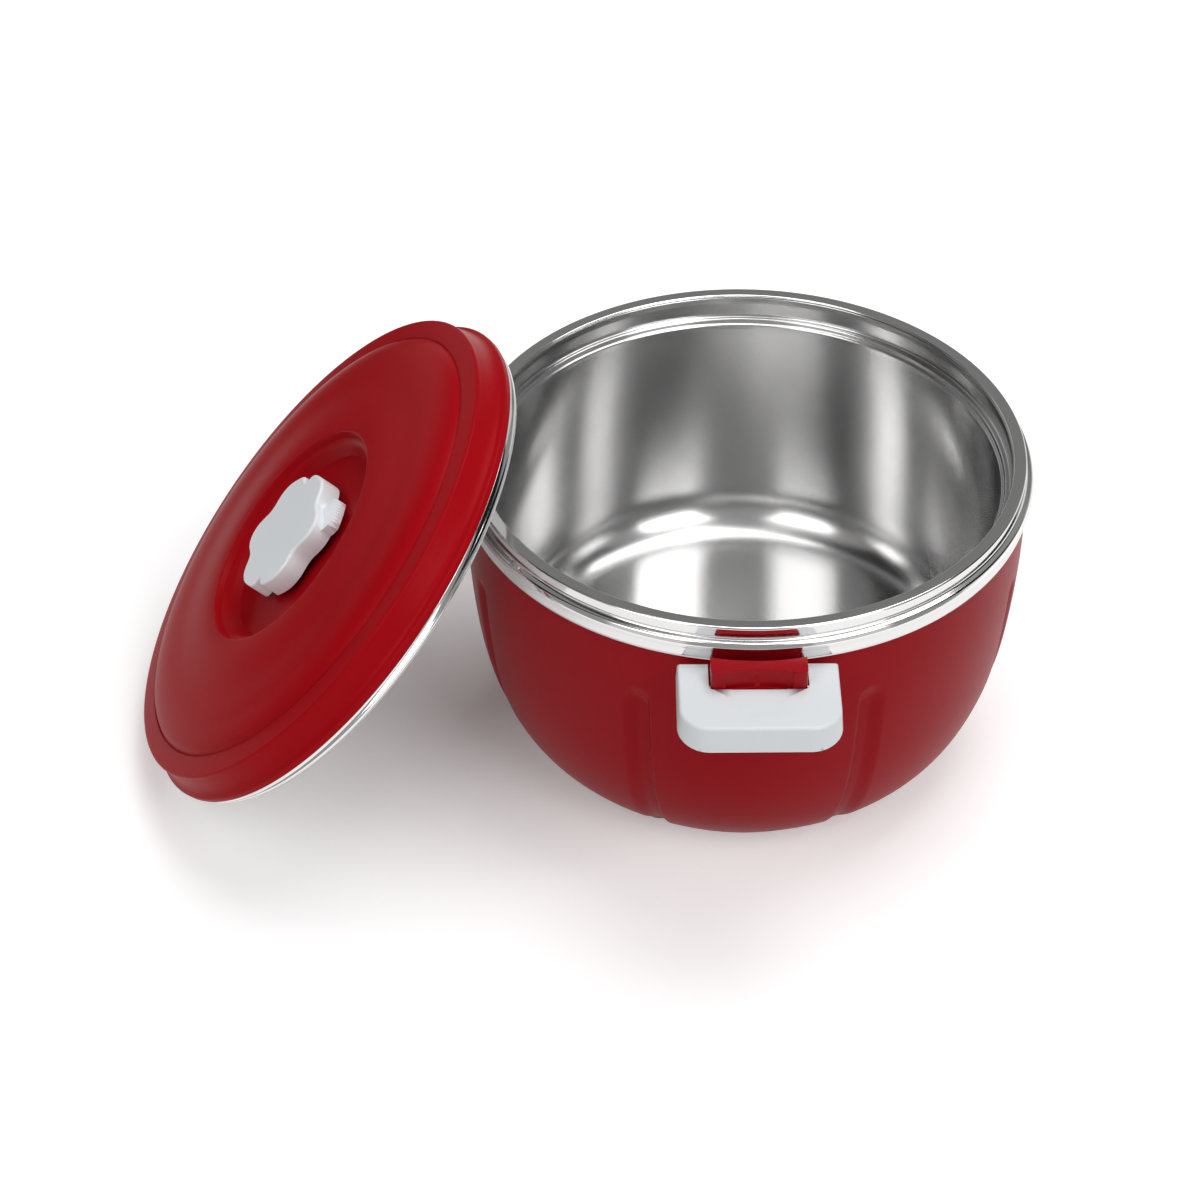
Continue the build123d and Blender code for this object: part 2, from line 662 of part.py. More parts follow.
def lid_place():
    """Where the lid stands: its edge on the table, its underside on the bowl's lip."""
    tilt = math.radians(lid_tilt)
    lift = (lid_edge_radius - lid_edge_round) * math.sin(tilt) - lid_edge_round * math.cos(tilt) + lid_edge_round
    over = (rim_height - lip_edge) - lift
    room = plug_depth + lip_edge + lean_gap
    out = (room + over * math.cos(tilt)) / math.sin(tilt) + lip_outer - lip_edge
    return Rot(0, 0, lid_azimuth - 180) * Pos(-out, 0, lift) * Rot(0, -lid_tilt, 0)


def write(name, solid):
    """One node, one STEP file."""
    export_step(solid, os.path.join("parts", name + ".step"))


def main():
    bowl_nodes = {
        "outer_shell": outer_shell(), "base_cover": base_cover(), "base_screws": base_screws(),
        "foam_fill": foam_fill(), "inner_bowl": inner_bowl(), "rim_ring": rim_ring(),
        "rim_seal": rim_seal()}
    for name, solid in bowl_nodes.items():
        write(name, solid)

    write("ear", folding_ear())
    write("ear_lug", ear_lug())
    write("ear_pin", ear_pin())
    write("ear_screws", ear_screws())

    place = lid_place()
    lid_nodes = {
        "lid_cover": lid_cover(), "lid_inner_plate": lid_inner_plate(), "lid_foam": lid_foam(),
        "lid_gasket": lid_gasket(), "vent_tube": vent_tube(), "knob": knob(),
        "knob_spindle": knob_spindle(), "knob_washer": knob_washer(), "knob_screw": knob_screw(),
        "vent_seal": vent_seal()}
    for name, solid in lid_nodes.items():
        write(name, place * solid)


main()
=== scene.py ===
"""Looks for the insulated flat-bread casserole: steel-lined bowl, a folding ear and a
loose lid with a vent knob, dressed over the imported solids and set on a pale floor.

Sizes are in millimetres inside the shape functions and become metres in the mesh.
"""
import math

import bmesh
import bpy
import numpy as np
from mathutils import Matrix, Vector


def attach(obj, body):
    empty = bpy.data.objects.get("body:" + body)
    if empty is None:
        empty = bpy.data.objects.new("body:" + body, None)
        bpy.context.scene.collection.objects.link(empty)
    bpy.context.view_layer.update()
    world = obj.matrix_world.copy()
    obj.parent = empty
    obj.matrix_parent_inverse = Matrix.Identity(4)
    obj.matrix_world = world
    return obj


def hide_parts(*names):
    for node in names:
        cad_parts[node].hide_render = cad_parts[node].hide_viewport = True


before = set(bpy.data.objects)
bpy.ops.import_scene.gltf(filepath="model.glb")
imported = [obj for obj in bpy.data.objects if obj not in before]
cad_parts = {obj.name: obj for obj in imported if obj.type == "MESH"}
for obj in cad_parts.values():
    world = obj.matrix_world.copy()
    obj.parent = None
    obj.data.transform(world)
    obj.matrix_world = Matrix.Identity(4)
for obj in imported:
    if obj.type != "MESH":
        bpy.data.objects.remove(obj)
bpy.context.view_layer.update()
MM = 0.001

# ---------------------------------------------------------------- sizes of the solids
SHEET = 0.8                      # steel sheet of rim, liner and lid plate
# shell: foot, side points from foot to band, wall, and the neck under the band
FOOT_RADIUS, FOOT_HEIGHT, FOOT_LEAN = 84.0, 1.0, math.radians(40)
FOOT_IN, WELL_IN, WELL_LOW, WELL_TOP = 77.1, 57.0, 2.7, 5.1
SIDE = [(FOOT_RADIUS, FOOT_HEIGHT), (94.2, 10.7), (103.3, 21.4), (111.0, 37.4), (116.3, 56.2),
        (119.8, 80.2), (121.8, 107.0), (122.2, 133.8)]
SHELL_WALL = 2.4
NECK = (121.7, 139.0)
# flutes: degrees to each side of an ear's middle, depth, half width, top
FLUTE_ANGLES, FLUTE_DEPTH, FLUTE_HALF, FLUTE_TOP = (24.0, 70.7), 2.3, 6.4, 111.0
EAR_SIDES = (-90.0, 90.0)
# rim: lip, collar, ledge and band
RIM_TOP, LIP_IN, LIP_OUT = 150.0, 115.6, 121.4
COLLAR, LEDGE, LEDGE_R, BAND_R, BAND_LOW = 144.4, 141.2, 125.0, 123.7, 133.8
# liner: hem, bead that seats the lid, wall, corner and floor
HEM_R, HEM_TOP = 118.6, 148.9
SEAT_OUT, SEAT_IN, SEAT_TOP, SEAT_LOW = 115.0, 110.9, 138.8, 134.6
WALL_FOOT, CORNER, FLOOR = 104.05, 20.0, 27.0
# lid: edge band, flange bead, valley, ring, dome and knob well
LID_R, LID_BAND, FLANGE_R = 119.0, 4.6, 120.8
PLUG_R, PLUG_LOW, LIP_R = 114.0, -1.2, 115.6
VALLEY_R, VALLEY_LOW = 118.3, 10.0
RING_OUT, RING_LOW, RING_IN, RING_TOP = 116.6, 19.0, 106.9, 21.2
DOME_R, DOME_LOW, WELL_R, WELL_EDGE = 104.2, 23.1, 55.6, 29.0
RECESS_FLOOR, RECESS_R, HUB_R, HUB_TOP, BORE_R, BORE_LOW = 20.0, 44.0, 15.0, 21.0, 4.06, 17.6
LID_TILT, LID_TURN, LID_OUT, LID_LIFT = 48.1, 1.3, 178.33, 88.24

LID_PLACE = (Matrix.Rotation(math.radians(LID_TURN), 4, "Z")
             @ Matrix.Translation((-LID_OUT, 0, LID_LIFT))
             @ Matrix.Rotation(math.radians(-LID_TILT), 4, "Y"))


# ---------------------------------------------------------------- shapes
def eased(x):
    """Soft step: 0 below 0, 1 above 1, and 3x^2 - 2x^3 between."""
    x = np.clip(x, 0.0, 1.0)
    return x * x * (3 - 2 * x)


def spline(points, start, end, count):
    """Cubic spline through points, parameter by chord length, with set end directions.

    The slopes m solve the usual tridiagonal system for continuous curvature, and each
    span is the Hermite blend of its two points and slopes.
    """
    p = np.asarray(points, float)
    h = np.linalg.norm(np.diff(p, axis=0), axis=1)
    n = len(p)
    a, b = np.eye(n), np.zeros_like(p)
    for i in range(1, n - 1):
        a[i, i - 1], a[i, i], a[i, i + 1] = h[i], 2 * (h[i - 1] + h[i]), h[i - 1]
        b[i] = 3 * (h[i] * (p[i] - p[i - 1]) / h[i - 1] + h[i - 1] * (p[i + 1] - p[i]) / h[i])
    b[0], b[-1] = np.asarray(start, float), np.asarray(end, float)
    m = np.linalg.solve(a, b)
    s = np.linspace(0, h.sum(), count)
    knot = np.concatenate([[0], np.cumsum(h)])
    i = np.clip(np.searchsorted(knot, s, side="right") - 1, 0, n - 2)
    u = ((s - knot[i]) / h[i])[:, None]
    hi = h[i][:, None]
    return ((2 * u**3 - 3 * u**2 + 1) * p[i] + (u**3 - 2 * u**2 + u) * hi * m[i]
            + (3 * u**2 - 2 * u**3) * p[i + 1] + (u**3 - u**2) * hi * m[i + 1])


def rounded(corners, closed=False, steps=6):
    """Polyline with each corner (x, y, radius) replaced by an arc of that radius.

    The arc touches both sides at distance radius * tan(half the turn) from the corner;
    a radius of 0 keeps the corner sharp.
    """
    out = []
    n = len(corners)
    for i, (x, y, radius) in enumerate(corners):
        here = np.array([x, y], float)
        if radius <= 0 or (not closed and i in (0, n - 1)):
            out.append(here[None])
            continue
        a = np.array(corners[i - 1][:2], float) - here
        b = np.array(corners[(i + 1) % n][:2], float) - here
        a, b = a / np.linalg.norm(a), b / np.linalg.norm(b)
        half = 0.5 * math.acos(float(np.clip(a @ b, -1, 1)))
        reach = radius / math.tan(half)
        hub = here + (a + b) / np.linalg.norm(a + b) * radius / math.sin(half)
        first, last = here + a * reach - hub, here + b * reach - hub
        t = np.linspace(0, 1, steps)[:, None]
        arc = first * (1 - t) + last * t
        out.append(hub + arc / np.linalg.norm(arc, axis=1)[:, None] * radius)
    return np.concatenate(out)


def dense(line, step):
    """The polyline with extra points so that none is further than a step from the next."""
    parts = [line[:1]]
    for a, b in zip(line[:-1], line[1:]):
        count = max(1, int(np.ceil(np.linalg.norm(b - a) / step)))
        t = np.linspace(0, 1, count + 1)[1:, None]
        parts.append(a * (1 - t) + b * t)
    return np.concatenate(parts)


def grid_piece(name, points, loop_u=True, loop_v=False, cap_start=False, cap_end=False):
    """Mesh of a grid of points[u, v]: quads between neighbours, closed round u or v where
    asked, and a fan to the middle of the first or last ring where that ring is capped."""
    nu, nv = points.shape[:2]
    verts = points.reshape(-1, 3)
    iu = np.arange(nu if loop_u else nu - 1)
    iv = np.arange(nv if loop_v else nv - 1)
    u, v = np.meshgrid(iu, iv, indexing="ij")
    un, vn = (u + 1) % nu, (v + 1) % nv
    quads = np.stack([u * nv + v, un * nv + v, un * nv + vn, u * nv + vn], -1).reshape(-1, 4)
    faces = quads.tolist()
    ring = np.arange(nu)
    for wanted, col, flip in ((cap_start, 0, False), (cap_end, nv - 1, True)):
        if wanted:
            hub = len(verts)
            verts = np.concatenate([verts, points[:, col].mean(axis=0)[None]])
            a, b = ring * nv + col, (ring + 1) % nu * nv + col
            tri = np.stack([np.full(nu, hub), b, a] if not flip else [np.full(nu, hub), a, b], -1)
            faces += tri.tolist()
    mesh = bpy.data.meshes.new(name)
    mesh.from_pydata((verts * MM).tolist(), [], faces)
    mesh.update()
    mesh.polygons.foreach_set("use_smooth", np.ones(len(mesh.polygons), bool))
    piece = bpy.data.objects.new(name, mesh)
    bpy.context.scene.collection.objects.link(piece)
    return piece


def turned(name, line, columns=240, loop=False, relief=None, place=None):
    """Surface of revolution: (r cos a, r sin a, z) for each profile point (r, z) and angle a.

    relief(r, z, a) is added to r.  A profile that starts or ends on the axis is capped
    there; a looped profile closes on itself.
    """
    a = columns
    if not isinstance(columns, np.ndarray):
        a = np.linspace(0, 2 * np.pi, columns, endpoint=False)
    line = np.asarray(line, float)
    start, end = line[0, 0] < 1e-6, line[-1, 0] < 1e-6
    if not loop:
        line = line[int(start): len(line) - int(end)]
    r, z = line[None, :, 0] + 0 * a[:, None], line[None, :, 1] + 0 * a[:, None]
    if relief is not None:
        r = r + relief(r, z, a[:, None] + 0 * r)
    points = np.stack([r * np.cos(a)[:, None], r * np.sin(a)[:, None], z], -1)
    if place is not None:
        m = np.array(place)
        points = points @ m[:3, :3].T + m[:3, 3]
    return grid_piece(name, points, True, loop, start and not loop, end and not loop)


def facing_out(piece):
    """Turns all faces of a closed piece outwards."""
    form = bmesh.new()
    form.from_mesh(piece.data)
    bmesh.ops.recalc_face_normals(form, faces=form.faces)
    form.to_mesh(piece.data)
    form.free()
    return piece


def smooth_copy(node, name, angle=32.0):
    """A copy of a solid's mesh with its doubles merged and its shading soft below an angle."""
    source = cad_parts[node]
    mesh = source.data.copy()
    mesh.name = name
    form = bmesh.new()
    form.from_mesh(mesh)
    bmesh.ops.remove_doubles(form, verts=form.verts, dist=1e-6)
    form.to_mesh(mesh)
    form.free()
    mesh.polygons.foreach_set("use_smooth", np.ones(len(mesh.polygons), bool))
    mesh.set_sharp_from_angle(angle=math.radians(angle))
    piece = bpy.data.objects.new(name, mesh)
    bpy.context.scene.collection.objects.link(piece)
    weighted = piece.modifiers.new("weighted", "WEIGHTED_NORMAL")
    weighted.keep_sharp = True
    weighted.mode = "FACE_AREA_WITH_ANGLE"
    return piece


# ---------------------------------------------------------------- materials
class Reading:
    """A socket's value in shader maths: the operators add Math nodes."""

    def __init__(self, finish, link):
        self.finish, self.link = finish, link

    def _math(self, kind, other, turned_round=False):
        pair = (other, self) if turned_round else (self, other)
        return self.finish.node("ShaderNodeMath", {"operation": kind}, dict(enumerate(pair)))

    def __add__(self, other):
        return self._math("ADD", other)

    def __radd__(self, other):
        return self._math("ADD", other, True)

    def __sub__(self, other):
        return self._math("SUBTRACT", other)

    def __mul__(self, other):
        return self._math("MULTIPLY", other)

    def __truediv__(self, other):
        return self._math("DIVIDE", other)

    def __pow__(self, other):
        return self._math("POWER", other)


class Finish:
    """A material under construction on one Principled shader."""

    def __init__(self, name, owner=None):
        self.material = owner or bpy.data.materials.new(name)
        self.material.use_nodes = True
        self.tree = self.material.node_tree
        self.tree.nodes.clear()

    def node(self, kind, settings=None, inputs=None, out=0):
        """Adds a node, sets its settings, then its sockets from values or readings."""
        made = self.tree.nodes.new(kind)
        for key, value in (settings or {}).items():
            if key == "stops":
                ramp = made.color_ramp.elements
                while len(ramp) < len(value):
                    ramp.new(0.5)
                for stop, (where, colour) in zip(ramp, value):
                    stop.position, stop.color = where, colour
            else:
                setattr(made, key, value)
        for key, value in (inputs or {}).items():
            if isinstance(value, Reading):
                self.tree.links.new(value.link, made.inputs[key])
            else:
                made.inputs[key].default_value = value
        return Reading(self, made.outputs[out]) if made.outputs else None

    def object_point(self):
        return self.node("ShaderNodeTexCoord", out="Object")

    def noise(self, where, scale, detail=3.0, rough=0.5):
        return self.node("ShaderNodeTexNoise", {}, {
            "Vector": where, "Scale": scale, "Detail": detail, "Roughness": rough}, "Fac")

    def mix(self, factor, a, b):
        return self.node("ShaderNodeMix", {"data_type": "RGBA"}, {
            0: factor, 6: a, 7: b}, 2)

    def bump(self, height, strength, distance):
        return self.node("ShaderNodeBump", {}, {
            "Height": height, "Strength": strength, "Distance": distance}, "Normal")

    def shade(self, **sockets):
        names = {key.replace("_", " "): value for key, value in sockets.items()}
        surface = self.node("ShaderNodeBsdfPrincipled", {}, names)
        self.node("ShaderNodeOutputMaterial", {}, {"Surface": surface})
        return self.material


def colour(r, g, b):
    """Linear colour from 8-bit screen values."""
    values = np.array([r, g, b]) / 255.0
    linear = np.where(values <= 0.04045, values / 12.92, ((values + 0.055) / 1.055) ** 2.4)
    return (*[float(v) for v in linear], 1.0)


def moulded(name, deep, light, rough, grain, coat=0.0, gloss=0.5):
    """Moulded plastic: faint flow clouds in colour and gloss, and a fine spark-eroded grain."""
    f = Finish(name)
    where = f.object_point()
    cloud_scale, grain_scale, dust_scale = 14.0, 900.0, 220.0
    cloud = f.noise(where, cloud_scale, 3.0)
    fine = f.noise(where, grain_scale, 2.0)
    dust = f.noise(where, dust_scale, 4.0, 0.65)
    return f.shade(
        Base_Color=f.mix(cloud, deep, light),
        Roughness=rough - 0.05 + cloud * 0.05 + dust * 0.06,
        Normal=f.bump(fine, grain, 0.00006),
        IOR=1.48, Specular_IOR_Level=gloss, Coat_Weight=coat, Coat_Roughness=0.18)


def steel(name, grey, rough, brushed, streak):
    """Stainless steel: fine streaks that run round the bowl's axis in gloss, tone and bump.

    The streaks are noise on (x/r, y/r) * turn and (z + r) * fine, so they follow the turning on
    the wall as on the flat floor.  Brushed steel also spreads its gloss along the axis.
    """
    f = Finish(name)
    where = f.object_point()
    part = f.node("ShaderNodeSeparateXYZ", {}, {"Vector": where}, "X")
    node = part.link.node
    x, y, z = (Reading(f, node.outputs[i]) for i in range(3))
    r = (x * x + y * y) ** 0.5
    turn, fine, centre = 9.0, 5200.0, 0.001
    line = f.node("ShaderNodeCombineXYZ", {}, {
        0: x / (r + centre) * turn, 1: y / (r + centre) * turn, 2: z * fine + r * fine})
    streaks = f.noise(line, 1.0, 4.0, 0.7)
    broad = f.noise(where, 9.0, 2.0)
    tone = (streaks - 0.5) * streak + 0.5
    low = tuple(v * 0.86 for v in grey[:3]) + (1.0,)
    return f.shade(
        Base_Color=f.mix(tone, low, grey),
        Metallic=1.0,
        Roughness=rough + (streaks - 0.5) * brushed + (broad - 0.5) * 0.04,
        Normal=f.bump(streaks, 0.10 if brushed > 0.05 else 0.03, 0.00002),
        Anisotropic=0.8 if brushed > 0.05 else 0.0, Anisotropic_Rotation=0.25)


RED = moulded("red_satin_shell", colour(144, 6, 18), colour(154, 9, 23), 0.36, 0.22, gloss=0.08)
# painted light: the lid's red is a lighter copy of the shell's red, to make up for the light that
# falls on the tilted lid
RED_LID_PAINTED_LIGHT = moulded("red_satin_lid_painted_light", colour(157, 8, 17), colour(167, 12, 23), 0.32, 0.22, gloss=0.04)
RED_TRIM = moulded("red_gloss_lug",
                   colour(150, 5, 17), colour(158, 8, 22), 0.24, 0.12, 0.03, gloss=0.16)
WHITE = moulded("white_ear_plastic", colour(218, 222, 225), colour(224, 228, 231), 0.34, 0.15)
# painted light: the knob's white is a lighter copy of the ear's white, to make up for the little
# light on the knob's top
WHITE_KNOB_PAINTED_LIGHT = moulded("white_knob_plastic_painted_light", colour(234, 239, 242), colour(240, 244, 247), 0.36, 0.18)
GREY = moulded("grey_spindle_plastic", colour(104, 104, 106), colour(118, 118, 120), 0.45, 0.3)
DARK = moulded("dark_base_plastic", colour(34, 34, 36), colour(44, 44, 46), 0.5, 0.4)
RUBBER = moulded("silicone", colour(196, 197, 198), colour(206, 207, 208), 0.55, 0.3)
FOAM = moulded("cream_foam", colour(226, 214, 178), colour(238, 228, 196), 0.9, 1.0)
STEEL_BRUSHED = steel("brushed_liner_steel", (0.70, 0.697, 0.695, 1.0), 0.20, 0.10, 0.6)
STEEL_POLISHED = steel("polished_rim_steel", (0.80, 0.795, 0.79, 1.0), 0.11, 0.03, 0.3)
STEEL_SCREW = steel("screw_steel", (0.55, 0.55, 0.56, 1.0), 0.3, 0.1, 0.5)


def dress(piece, body, slot, material, *nodes):
    """Gives a piece its material and body, and hides the solids that it stands for. The slot is not
    used.
    """
    piece.data.materials.clear()
    piece.data.materials.append(material)
    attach(piece, body)
    if nodes:
        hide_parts(*nodes)
    return piece


# ---------------------------------------------------------------- bowl
def flute_relief(r, z, a):
    """Inward relief of the flutes over the arc distance d from each one's middle: a crisp step on
    the side that faces its ear, a soft one on the other, faded out at the top along an arch.
    """
    depth = np.zeros_like(r)
    crisp_width, soft_width, fade = 1.8, FLUTE_HALF + 1.2, 9.0
    for ear in EAR_SIDES:
        for side in (-1, 1):
            for angle in FLUTE_ANGLES:
                middle = np.radians(ear + side * angle)
                away = (a - middle + np.pi) % (2 * np.pi) - np.pi
                d = away * r * side
                crisp = eased((d + FLUTE_HALF) / crisp_width)
                soft = 1 - eased((d + 0.5) / soft_width)
                top = 1 - eased((z - FLUTE_TOP + fade + 0.10 * d * d) / fade)
                depth = np.maximum(depth, crisp * soft * top)
    below_band = (z < BAND_LOW + 0.2) & (r > 60)
    return -FLUTE_DEPTH * depth * below_band


def shell_piece():
    """Turned shell: foot, side spline, neck and the inner wall set in by the wall thickness."""
    side = spline(SIDE, (math.sin(FOOT_LEAN), math.cos(FOOT_LEAN)), (0, 1), 110)
    foot = rounded([(FOOT_IN, 0.0, 0), (FOOT_RADIUS - 0.7, 0.0, 0.8), (FOOT_RADIUS, FOOT_HEIGHT, 0)])
    outside = np.concatenate([foot, side[1:], [(NECK[0], 133.9), NECK]])
    inner = side - np.array([SHELL_WALL, 0])
    well = [(FOOT_RADIUS - 1.0, WELL_TOP), (WELL_IN, WELL_TOP), (WELL_IN, WELL_LOW),
            (FOOT_IN, WELL_LOW)]
    inside = np.concatenate([[(NECK[0] - SHELL_WALL + 0.5, NECK[1])], inner[::-3], well])
    # columns: even all round, and close together across each flute
    across = np.linspace(-4.2, 4.2, 34)
    fine = [np.radians(ear + turn * angle + across)
            for ear in EAR_SIDES for turn in (-1, 1) for angle in FLUTE_ANGLES]
    a = np.concatenate([np.linspace(0, 2 * np.pi, 200, endpoint=False)] + fine) % (2 * np.pi)
    a = np.unique(np.round(a, 4))
    line = np.concatenate([outside, inside])
    return facing_out(turned("shell_moulding", line, a, loop=True, relief=flute_relief))


def rim_piece():
    """Turned rim: rolled lip, straight collar, quarter-round ledge, tucked lower band."""
    inner = LIP_OUT - SHEET
    line = rounded([
        (LIP_IN, RIM_TOP - SHEET, 0.3), (LIP_IN, RIM_TOP, 0.75), (LIP_OUT, RIM_TOP, 0.9),
        (LIP_OUT, COLLAR, 1.0), (LEDGE_R - 0.9, COLLAR - 0.6, 1.4), (LEDGE_R, LEDGE + 0.6, 1.6),
        (LEDGE_R - 0.1, LEDGE - 1.0, 0.4), (BAND_R, LEDGE - 1.8, 0.8),
        (BAND_R + 0.05, BAND_LOW + 1.4, 1.2), (BAND_R - 0.5, BAND_LOW, 0.25),
        (BAND_R - SHEET, BAND_LOW, 0.2), (BAND_R - SHEET, LEDGE - 1.4, 0.3),
        (inner, COLLAR - 1.6, 0.5), (inner, RIM_TOP - SHEET, 0.3)], closed=True, steps=7)
    return facing_out(turned("rim_pressing", line, 300, loop=True))


def liner_piece():
    """Turned liner: hem, straight neck, double-roll seat, cavity wall, round corner, flat floor."""
    inside = [
        (HEM_R, HEM_TOP, 0), (LIP_IN - 0.2, HEM_TOP, 0.5), (SEAT_OUT, 146.0, 2.0),
        (SEAT_OUT, SEAT_TOP, 0.9), (SEAT_OUT - 2.2, SEAT_TOP + 0.25, 0.9),
        (SEAT_OUT - 2.9, SEAT_TOP - 1.8, 0.6), (SEAT_IN, SEAT_TOP - 2.0, 0.8),
        (SEAT_IN, SEAT_LOW, 2.5), (WALL_FOOT, FLOOR, CORNER), (0, FLOOR, 0)]
    line = dense(rounded(inside, steps=10), 3.0)
    outside = rounded([
        (0, FLOOR - SHEET, 0), (WALL_FOOT + SHEET, FLOOR - SHEET, CORNER + SHEET),
        (SEAT_IN + SHEET, SEAT_LOW, 1.0), (SEAT_OUT + SHEET, SEAT_TOP - 1.0, 0.5),
        (SEAT_OUT + SHEET, HEM_TOP - SHEET, 0), (HEM_R, HEM_TOP - SHEET, 0),
        (HEM_R, HEM_TOP, 0)], steps=6)
    return facing_out(turned("liner_pressing", np.concatenate([line[::-1], outside[::-1]]), 260))


# ---------------------------------------------------------------- lid
def cover_piece():
    """Turned lid cover: flange bead, valley, ring with a fine crease, dome and sunk knob well."""
    skirt = LID_BAND + 0.4
    under_flange = FLANGE_R - 2.4
    bead = rounded([
        (FLANGE_R - 1.6, skirt, 0), (FLANGE_R - 0.2, skirt, 0.5), (FLANGE_R, 7.9, 1.1),
        (118.9, 9.2, 0.5), (VALLEY_R, VALLEY_LOW, 0)], steps=6)
    valley = spline([(VALLEY_R, VALLEY_LOW), (117.4, 12.6), (116.9, 16.0), (RING_OUT, RING_LOW)],
                    (-0.5, 0.86), (-0.02, 1), 18)
    ring = rounded([
        (RING_OUT, RING_LOW, 0), (RING_OUT - 0.1, RING_TOP - 1.0, 1.2), (RING_IN, RING_TOP, 0.4),
        (106.1, 20.7, 0.2), (105.6, 21.7, 0.4), (104.4, 23.0, 2.0)], steps=6)
    dome = spline([(DOME_R, DOME_LOW), (102.0, 24.3), (80.0, 27.4), (WELL_R, WELL_EDGE)],
                  (-0.8, 0.6), (-1, -0.02), 46)
    well = rounded([
        (WELL_R, WELL_EDGE, 0), (53.0, WELL_EDGE, 0.9), (50.4, RECESS_FLOOR + 1.0, 2.0),
        (46.4, RECESS_FLOOR, 0.4), (RECESS_R, RECESS_FLOOR, 0), (HUB_R + 0.4, RECESS_FLOOR, 0.5),
        (HUB_R, HUB_TOP, 0.5), (BORE_R, HUB_TOP, 0.2), (BORE_R, BORE_LOW, 0)], steps=7)
    under = [(HUB_R, BORE_LOW), (RECESS_R, BORE_LOW), (50.5, 26.3), (80.0, 25.0), (103.0, 21.4),
             (114.0, 18.0), (115.6, 12.0), (under_flange, 6.2), (under_flange, skirt)]
    line = np.concatenate([bead, valley[1:], ring[1:], dome[1:], well[1:], under])
    return facing_out(turned("lid_moulding", dense(line, 4.0), 300, loop=True, place=LID_PLACE))


def plate_piece():
    """Turned underside plate: centring step, seat and the polished edge band in two facets."""
    line = rounded([
        (0, PLUG_LOW, 0), (PLUG_R, PLUG_LOW, 0.5), (PLUG_R + 0.6, 0.0, 0.3), (LID_R - 0.2, 0.0, 0.8),
        (LID_R + 0.1, 2.3, 1.5), (LID_R + 0.4, LID_BAND, 0.3), (118.0, LID_BAND, 0),
        (LIP_R, LID_BAND, 0), (LIP_R, 8.6, 0), (LIP_R - SHEET, 8.6, 0), (LIP_R - SHEET, SHEET, 0),
        (PLUG_R, SHEET, 0), (PLUG_R - 0.6, PLUG_LOW + SHEET, 0), (0, PLUG_LOW + SHEET, 0)], steps=6)
    return facing_out(turned("lid_plate", dense(line, 6.0), 300, place=LID_PLACE))


def build():
    """Makes every piece and hands it to its body."""
    dress(shell_piece(), "bowl_body", "red_shell", RED, "outer_shell")
    dress(rim_piece(), "bowl_body", "polished_steel", STEEL_POLISHED, "rim_ring")
    dress(liner_piece(), "bowl_body", "satin_steel", STEEL_BRUSHED, "inner_bowl")
    dress(cover_piece(), "lid_body", "red_shell", RED_LID_PAINTED_LIGHT, "lid_cover")
    dress(plate_piece(), "lid_body", "polished_steel", STEEL_POLISHED, "lid_inner_plate")
    dress(smooth_copy("ear", "ear_moulding"), "ear_body", "white_ear", WHITE, "ear")
    dress(smooth_copy("ear_lug", "lug_moulding", 12.0), "bowl_body", "red_trim", RED_TRIM, "ear_lug")
    dress(smooth_copy("knob", "knob_moulding"), "knob_body", "white_knob", WHITE_KNOB_PAINTED_LIGHT, "knob")
    finishes = {
        "base_cover": DARK, "base_screws": STEEL_SCREW, "foam_fill": FOAM, "rim_seal": RUBBER,
        "ear_pin": STEEL_SCREW, "ear_screws": STEEL_SCREW, "lid_foam": FOAM, "lid_gasket": RUBBER,
        "vent_tube": GREY, "knob_spindle": GREY, "knob_washer": STEEL_SCREW,
        "knob_screw": STEEL_SCREW, "vent_seal": RUBBER}
    for node, material in finishes.items():
        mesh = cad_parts[node].data
        for i in range(len(mesh.materials)):
            mesh.materials[i] = material


# floor: paper colour, and the glow added for the camera at distances (m) from the shadow's middle;
# the glow is weak near the middle, a painted shadow there
PAPER, SHADOW_MIDDLE = 0.88, (-0.13, 0.05, 0.0)
GLOW_WITH_PAINTED_SHADOW = ((0.05, 0.05), (0.12, 0.20), (0.17, 0.34), (0.60, 0.46), (0.95, 0.75))


def stage_floor():
    """Pale floor: near white to the camera and in gloss; near the object it is darker from its real
    shadow and from a weaker glow there, a painted shadow.
    """
    half, low = 9.0, -0.0002
    mesh = bpy.data.meshes.new("floor")
    corners = [(-half, -half, low), (half, -half, low), (half, half, low), (-half, half, low)]
    mesh.from_pydata(corners, [], [(0, 1, 2, 3)])
    floor = bpy.data.objects.new("floor", mesh)
    bpy.context.scene.collection.objects.link(floor)
    f = Finish("floor_paper")
    seen = f.node("ShaderNodeLightPath", out="Is Camera Ray")
    glossy = Reading(f, seen.link.node.outputs["Is Glossy Ray"])
    lift = f.node("ShaderNodeMath", {"operation": "MAXIMUM"}, {0: seen, 1: glossy * 0.8})
    away = f.node("ShaderNodeVectorMath", {"operation": "DISTANCE"},
                  {0: f.object_point(), 1: SHADOW_MIDDLE}, "Value")
    stops = [(where, (grey, grey, grey, 1)) for where, grey in GLOW_WITH_PAINTED_SHADOW]
    # painted shadow: the glow fades to little towards the shadow's middle
    fade = f.node("ShaderNodeValToRGB", {"stops": stops}, {"Fac": away})
    paper = f.node("ShaderNodeBsdfDiffuse", {}, {"Color": (PAPER, PAPER, PAPER, 1)})
    glow = f.node("ShaderNodeEmission", {}, {"Color": fade, "Strength": lift})
    both = f.node("ShaderNodeAddShader", {}, {0: paper, 1: glow})
    f.node("ShaderNodeOutputMaterial", {}, {"Surface": both})
    mesh.materials.append(f.material)


